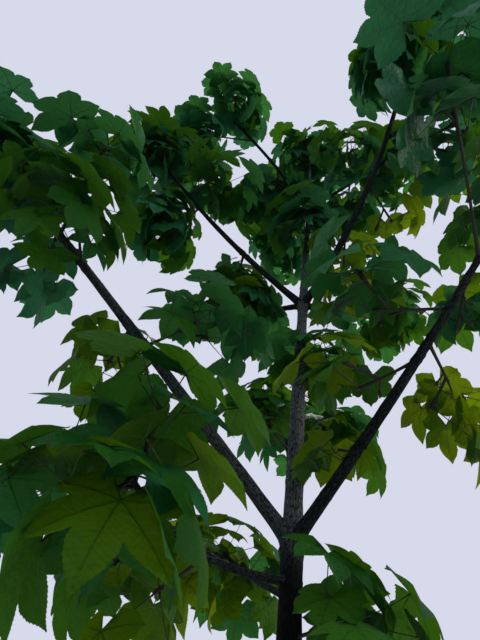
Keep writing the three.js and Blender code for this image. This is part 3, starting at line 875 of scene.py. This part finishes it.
def green_stem_material(name, colour, spots, gloss):
    """Smooth skin of veins, stalks and this year's wood, with faint freckles"""
    material, tree, output = new_material(name)
    place = add_node(tree, "TexCoord")
    freckles = add_node(tree, "TexNoise", {
        "Vector": place.outputs["Object"], "Scale": 180.0, "Detail": 2.0,
    })
    tint = add_node(tree, "ValToRGB", {"Fac": freckles.outputs["Fac"]}, stops=(
        (0.42, linear(colour)), (0.62, linear(spots)),
    ))
    bump = add_node(tree, "Bump", {
        "Height": freckles.outputs["Fac"], "Strength": 0.4, "Distance": 0.001,
    })
    skin = add_node(tree, "BsdfPrincipled", {
        "Base Color": tint.outputs["Color"], "Roughness": gloss, "Normal": bump.outputs["Normal"],
    })
    tree.links.new(skin.outputs["BSDF"], output.inputs["Surface"])
    return material


def floor_material():
    """Matt painted studio floor, with the faint mottle of a roller"""
    material, tree, output = new_material("matt_floor_paint")
    place = add_node(tree, "TexCoord")
    mottle = add_node(tree, "TexNoise", {
        "Vector": place.outputs["Object"], "Scale": 6.0, "Detail": 4.0,
    })
    tint = add_node(tree, "ValToRGB", {"Fac": mottle.outputs["Fac"]}, stops=(
        (0.3, linear("#c9c8c4")), (0.7, linear("#d2d1cd")),
    ))
    paint = add_node(tree, "BsdfPrincipled", {
        "Base Color": tint.outputs["Color"], "Roughness": 0.9,
    })
    tree.links.new(paint.outputs["BSDF"], output.inputs["Surface"])
    return material


def bark_relief(angle, distance, radius, seed, knots):
    """How far bark stands out from a limb, in shares of its radius: ridges, lumps, the scar rings
    where each year's growth began, and the burr of old bud scales where boughs leave it"""
    x, y = PATTERN_RADIUS * math.cos(angle), PATTERN_RADIUS * math.sin(angle)
    ridges = noise.noise(Vector((2 * x, 2 * y, distance / RIDGE_LENGTH + seed)))
    lumps = noise.noise(Vector((0.5 * x, 0.5 * y, distance / (5 * radius) + seed + LUMP_SHIFT)))
    burr = noise.noise(Vector((1.1 * x, 1.1 * y, distance / BURR_LENGTH + seed)))
    from_ring = (distance + YEAR_RING_SHIFT * seed) % YEAR_RING_GAP - YEAR_RING_GAP / 2
    ring = math.exp(-(from_ring / YEAR_RING_WIDTH) ** 2)
    near = sum(math.exp(-((distance - knot) / KNOT_LENGTH) ** 2) for knot in knots)
    relief = RIDGE_DEPTH * ridges + LUMP_DEPTH * lumps + YEAR_RING_DEPTH * ring
    return relief + near * (BURR_DEPTH * burr + BURR_SWELL)


def limb_piece(name, course, radius_at, grid, seed, knots, material):
    """A limb: a grid rolled round its course, with the bark's relief, closed at both ends"""
    bpy.ops.object.select_all(action="DESELECT")
    around, step = grid
    rows = round(course.length / step)
    bpy.ops.mesh.primitive_grid_add(x_subdivisions=around, y_subdivisions=rows, size=1)
    piece = bpy.context.object
    piece.name = piece.data.name = name
    mesh = piece.data
    flat = np.empty(3 * len(mesh.vertices))
    mesh.vertices.foreach_get("co", flat)
    flat = flat.reshape(-1, 3)
    # The grid's last column comes round to its first, where the two are welded
    angles = 2 * math.pi * (flat[:, 0] + 0.5) % (2 * math.pi - 1e-6)
    distances = (flat[:, 1] + 0.5) * course.length
    points, limb = np.empty_like(flat), np.empty_like(flat)
    frames = {}
    for i, (angle, distance) in enumerate(zip(angles, distances)):
        key = round(distance, 3)
        if key not in frames:
            along = course.along(distance)
            side = np.array((1.0, 0, 0)) if along[2] > 0.99 else unit(np.cross(along, UP))
            frames[key] = course.at(distance), side, np.cross(along, side)
        centre, side, rise = frames[key]
        radius = radius_at(distance, angle)
        radius *= 1 + bark_relief(angle, distance, radius, seed, knots)
        points[i] = centre + radius * (math.cos(angle) * side + math.sin(angle) * rise)
        limb[i] = radius * math.cos(angle), radius * math.sin(angle), distance + BARK_SHIFT * seed
    mesh.vertices.foreach_set("co", (points * MM).ravel())
    limb_place = mesh.attributes.new("limb", "FLOAT_VECTOR", "POINT")
    limb_place.data.foreach_set("vector", (limb * MM).ravel())
    bpy.ops.object.mode_set(mode="EDIT")
    bpy.ops.mesh.select_all(action="SELECT")
    bpy.ops.mesh.remove_doubles(threshold=WELD)
    bpy.ops.mesh.fill_holes(sides=0)
    bpy.ops.mesh.select_all(action="SELECT")
    bpy.ops.mesh.normals_make_consistent(inside=False)
    bpy.ops.object.mode_set(mode="OBJECT")
    bpy.ops.object.shade_smooth_by_angle(angle=math.radians(CREASE_ANGLE))
    mesh.materials.append(material)
    return piece


def make_trunk(material):
    """The trunk, running on through the leader as its middle shoot"""
    heights = np.linspace(0, TRUNK_HEIGHT, TRUNK_POINTS)
    points = [trunk_centre(z) for z in heights]
    points.append(points[-1] + UP * LEADER[0])
    course = Course(points)

    def radius_at(distance, angle):
        height = min(TRUNK_HEIGHT, distance)
        return trunk_radius(height, angle)

    piece = limb_piece("trunk_bark", course, radius_at, TRUNK_GRID, 0, WHORLS, material)
    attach(piece, "root")
    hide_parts("trunk")


def make_bough(number, bough, material):
    """A bough, running on through its mass as the leading twig"""
    course = bough_course(bough)

    def radius_at(distance, _):
        past = max(0, distance - bough["length"]) / bough["tip"][0]
        flare = 1 + ROOT_FLARE * math.exp(-(distance / ROOT_FLARE_LENGTH) ** 2)
        bough_share = flare * bough_radius(bough, distance) * (1 - past)
        return bough_share + STEM_TIP_RADIUS * BOUGH_TIP_SHARE * past

    name = f"bough_{bough['name']}"
    shoots = [shoot[0] * bough["length"] for shoot in bough["shoots"]]
    piece = limb_piece(f"{name}_bark", course, radius_at, BOUGH_GRID, number + 1, shoots, material)
    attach(piece, "root")
    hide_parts(name)


def tube_rings(points, radii, sides, start):
    """Points and faces of one thin tube through points, with a face over each of its ends"""
    rings, faces = [], []
    for i, point in enumerate(points):
        along = unit(points[min(i + 1, len(points) - 1)] - points[max(i - 1, 0)])
        side, rise = cross_axes(along)
        for k in range(sides):
            angle = 2 * math.pi * k / sides
            rings.append(point + radii[i] * (math.cos(angle) * side + math.sin(angle) * rise))
    for i in range(len(points) - 1):
        for k in range(sides):
            a, b = start + i * sides + k, start + i * sides + (k + 1) % sides
            faces.append((b, a, a + sides, b + sides))
    faces.append(tuple(start + k for k in range(sides)))
    last = start + (len(points) - 1) * sides
    faces.append(tuple(last + k for k in reversed(range(sides))))
    return rings, faces


def joined_piece(name, points, faces, materials, nodes):
    """One piece of foliage from points in millimetres, in place of the masses named in nodes"""
    mesh = bpy.data.meshes.new(name)
    mesh.from_pydata(np.array(points) * MM, [], faces)
    for material in materials:
        mesh.materials.append(material)
    mesh.polygons.foreach_set("use_smooth", [True] * len(mesh.polygons))
    piece = bpy.data.objects.new(name, mesh)
    bpy.context.collection.objects.link(piece)
    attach(piece, "root")
    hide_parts(*nodes)
    return piece


def make_tubes(name, tubes, sides, material, nodes):
    """Joins thin tubes, each a row of points with their radii, into one piece"""
    points, faces = [], []
    for path, radii in tubes:
        rings, sheet = tube_rings(path, radii, sides, len(points))
        points += rings
        faces += sheet
    joined_piece(name, points, faces, [material], nodes)


def bowed(start, end, sag, count):
    """Points from start to end along a slight bow that gives way downwards"""
    shares = np.linspace(0, 1, count)
    line = start + np.outer(shares, end - start)
    return line - np.outer(4 * sag * shares * (1 - shares), UP)


def twig_tubes(masses):
    """Stems of the masses that stand beside a limb, and every twig and spur"""
    tubes = []
    for mass in masses:
        if "_side_" in mass["name"] or "_trunk_" in mass["name"]:
            stem = mass["stem"]
            bow = STEM_BOW * stem.length
            path = bowed(stem.at(0), stem.at(stem.length), bow, len(STEM_WAIST))
            tubes.append((path, STEM_RADIUS * STEM_WAIST))
        for hub in mass["hubs"][1:]:
            thin, thick = TWIG_RADIUS, TWIG_TIP_RADIUS
            if hub["kind"] == "spur":
                thin, thick = SPUR_RADIUS, SPUR_TIP_RADIUS
            radii = [thin * TWIG_HEEL, thin, thin, thin, thick, thick]
            tubes.append((bowed(hub["root"], hub["tip"], TWIG_BOW, len(radii)), radii))
    return tubes


def bud_tubes(masses):
    """A pointed bud on each hub"""
    tubes = []
    for mass in masses:
        for hub in mass["hubs"]:
            size = SPUR_BUD if hub["kind"] == "spur" else 1
            axis = unit(hub["tip"] - hub["root"])
            path = np.array([hub["tip"] + axis * size * far for far in BUD_PLACES])
            tubes.append((path, BUD_RADII * size))
    return tubes


def stalk_tubes(leaves):
    count = len(STALK_RADII)
    return [(bowed(leaf["root"], leaf["top"], STALK_BOW, count), STALK_RADII) for leaf in leaves]


def make_blades(name, leaves, materials, nodes):
    """Joins blades into one piece, a green for each spray, with places on the lobes as its UV"""
    form = TOOTHED_BLADE
    points, faces, places, tints = [], [], [], []
    for leaf in leaves:
        faces += [tuple(len(points) + corner for corner in face) for face in form["faces"]]
        points += list(blade_points(leaf, form))
        places.append(form["places"] * leaf["reach"] * MM)
        tints += [leaf["tint"]] * len(form["faces"])
    piece = joined_piece(name, points, faces, materials, nodes)
    piece.data.polygons.foreach_set("material_index", tints)
    layer = piece.data.uv_layers.new(name="blade")
    layer.data.foreach_set("uv", np.concatenate(places).ravel())


def make_veins(name, leaves, material, nodes):
    """Thin raised strips along the lobes' main veins, on the underside of the blades"""
    points, faces = [], []
    for leaf in leaves:
        sheet = blade_points(leaf, PLAIN_BLADE, lift=-VEIN_DEPTH)
        for row in PLAIN_BLADE["veins"]:
            line = sheet[list(row)]
            for i, width in enumerate(VEIN_WIDTHS):
                along = unit(line[min(i + 1, len(line) - 1)] - line[max(i - 1, 0)])
                side = np.cross(leaf["normal"], along) * width
                points += [line[i] + side, line[i] - side]
            start = len(points) - 2 * len(line)
            for k in range(start, len(points) - 2, 2):
                faces.append((k, k + 1, k + 3, k + 2))
    joined_piece(name, points, faces, [material], nodes)


def dress_masses(masses, greens, vein_skin, stalk_skin, twig_skin, bud_skin):
    """Grows every mass, tints its sprays, and joins blades and veins by tier, the rest by kind"""
    limbs = limb_samples()
    last_green = len(greens) - 1
    for mass in masses:
        low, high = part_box(mass["name"])
        mass["box"] = np.array(low) / MM, np.array(high) / MM
        mass["hubs"], mass["foliage"] = grow_mass(mass, limbs)
        draw = random_stream(mass["leaf_seed"] + TONE_STREAM)
        tones = [mass["tone"] + TONE_RANGE * (draw() - 0.5) for _ in mass["hubs"]]
        for leaf in mass["foliage"]:
            leaf["tint"] = min(last_green, max(0, round(last_green * tones[leaf["spray"]])))
    names = [mass["name"] for mass in masses]
    tiers = {"low": "low", "first": "first", "second": "second", "top": ""}
    left = list(masses)
    for tier, word in tiers.items():
        group = [mass for mass in left if mass["name"].startswith(f"leaves_{word}")]
        left = [mass for mass in left if mass not in group]
        nodes = [mass["name"] for mass in group]
        leaves = [leaf for mass in group for leaf in mass["foliage"]]
        make_blades(f"leaf_blades_{tier}", leaves, greens, nodes)
        make_veins(f"leaf_veins_{tier}", leaves, vein_skin, nodes)
    every = [leaf for mass in masses for leaf in mass["foliage"]]
    make_tubes("leaf_stalks", stalk_tubes(every), STALK_SIDES, stalk_skin, names)
    make_tubes("twigs", twig_tubes(masses), TWIG_SIDES, twig_skin, names)
    make_tubes("buds", bud_tubes(masses), BUD_SIDES, bud_skin, names)


def make_floor():
    """Pale floor, which throws no light back up into the crown"""
    bpy.ops.object.select_all(action="DESELECT")
    bpy.ops.mesh.primitive_plane_add(size=FLOOR_SIZE)
    floor = bpy.context.object
    floor.name = "studio_floor"
    floor.data.materials.append(floor_material())
    floor.visible_diffuse = False


def make_light():
    """A pale dome that lights from above and little from below, and wide soft lamps"""
    world = bpy.data.worlds.new("studio_dome")
    world.use_nodes = True
    tree = world.node_tree
    tree.nodes.clear()
    place = add_node(tree, "TexCoord")
    parts = add_node(tree, "SeparateXYZ", {"Vector": place.outputs["Generated"]})
    dome = add_node(tree, "ValToRGB", {"Fac": parts.outputs["Z"]}, stops=(
        (0.0, linear("#6a7478")), (0.3, linear("#b9c1d6")),
    ))
    seen = add_node(tree, "LightPath")
    backdrop = add_node(tree, "Mix", {
        "Factor": seen.outputs["Is Camera Ray"], MIX_A: dome.outputs["Color"],
        MIX_B: linear("#d6daea"),
    }, data_type="RGBA")
    sky = add_node(tree, "Background", {
        "Color": backdrop.outputs[MIX_RESULT], "Strength": 1.0,
    })
    output = add_node(tree, "OutputWorld")
    tree.links.new(sky.outputs["Background"], output.inputs["Surface"])
    bpy.context.scene.world = world
    for name, direction, strength, width in SOFT_LAMPS:
        bpy.ops.object.light_add(type="SUN")
        lamp = bpy.context.object
        lamp.name = name
        lamp.data.energy = strength
        lamp.data.angle = math.radians(width)
        lamp.data.color = linear("#fff6e6")[:3]
        aim = Vector(direction).to_track_quat("Z", "Y").to_matrix().to_4x4()
        lamp.matrix_world = Matrix.Translation(LAMP_DISTANCE * Vector(direction)) @ aim


def make_camera():
    """Camera under the crown, looking up the trunk, rolled a little, as the photograph was taken"""
    tilt, roll = math.radians(CAMERA_TILT), math.radians(CAMERA_ROLL)
    right = Vector((1, 0, 0))
    up = Vector((0, -math.sin(tilt), math.cos(tilt)))
    ahead = Vector((0, math.cos(tilt), math.sin(tilt)))
    turned_right = right * math.cos(roll) - up * math.sin(roll)
    turned_up = right * math.sin(roll) + up * math.cos(roll)
    bpy.ops.object.camera_add()
    camera = bpy.context.object
    camera.name = "photo_camera"
    frame_of_view = Matrix((turned_right, turned_up, -ahead)).transposed().to_4x4()
    camera.matrix_world = Matrix.Translation(CAMERA_PLACE) @ frame_of_view
    camera.data.sensor_fit = "VERTICAL"
    camera.data.sensor_height = SENSOR_HEIGHT
    camera.data.lens = SENSOR_HEIGHT * FOCAL_PIXELS / PICTURE_PIXELS
    camera.data.clip_start = 0.05
    bpy.context.scene.camera = camera


def main():
    make_camera()
    trunk_bark, bough_bark, painted_light_bark = [bark_material(*bark) for bark in BARKS]
    greens = [leaf_material(*green) for green in LEAF_GREENS]
    skins = [green_stem_material(*skin) for skin in SKINS]
    make_trunk(trunk_bark)
    for number, bough in enumerate(BOUGHS):
        # Painted light: the paler bark goes on the boughs lit from the side, the darker
        # painted-shade bark on the rest
        bark = painted_light_bark if bough["name"] in PAINTED_LIT_BOUGHS else bough_bark
        make_bough(number, bough, bark)
    dress_masses(make_masses(), greens, *skins)
    make_floor()
    make_light()
    bpy.context.scene.view_settings.view_transform = "Standard"


main()
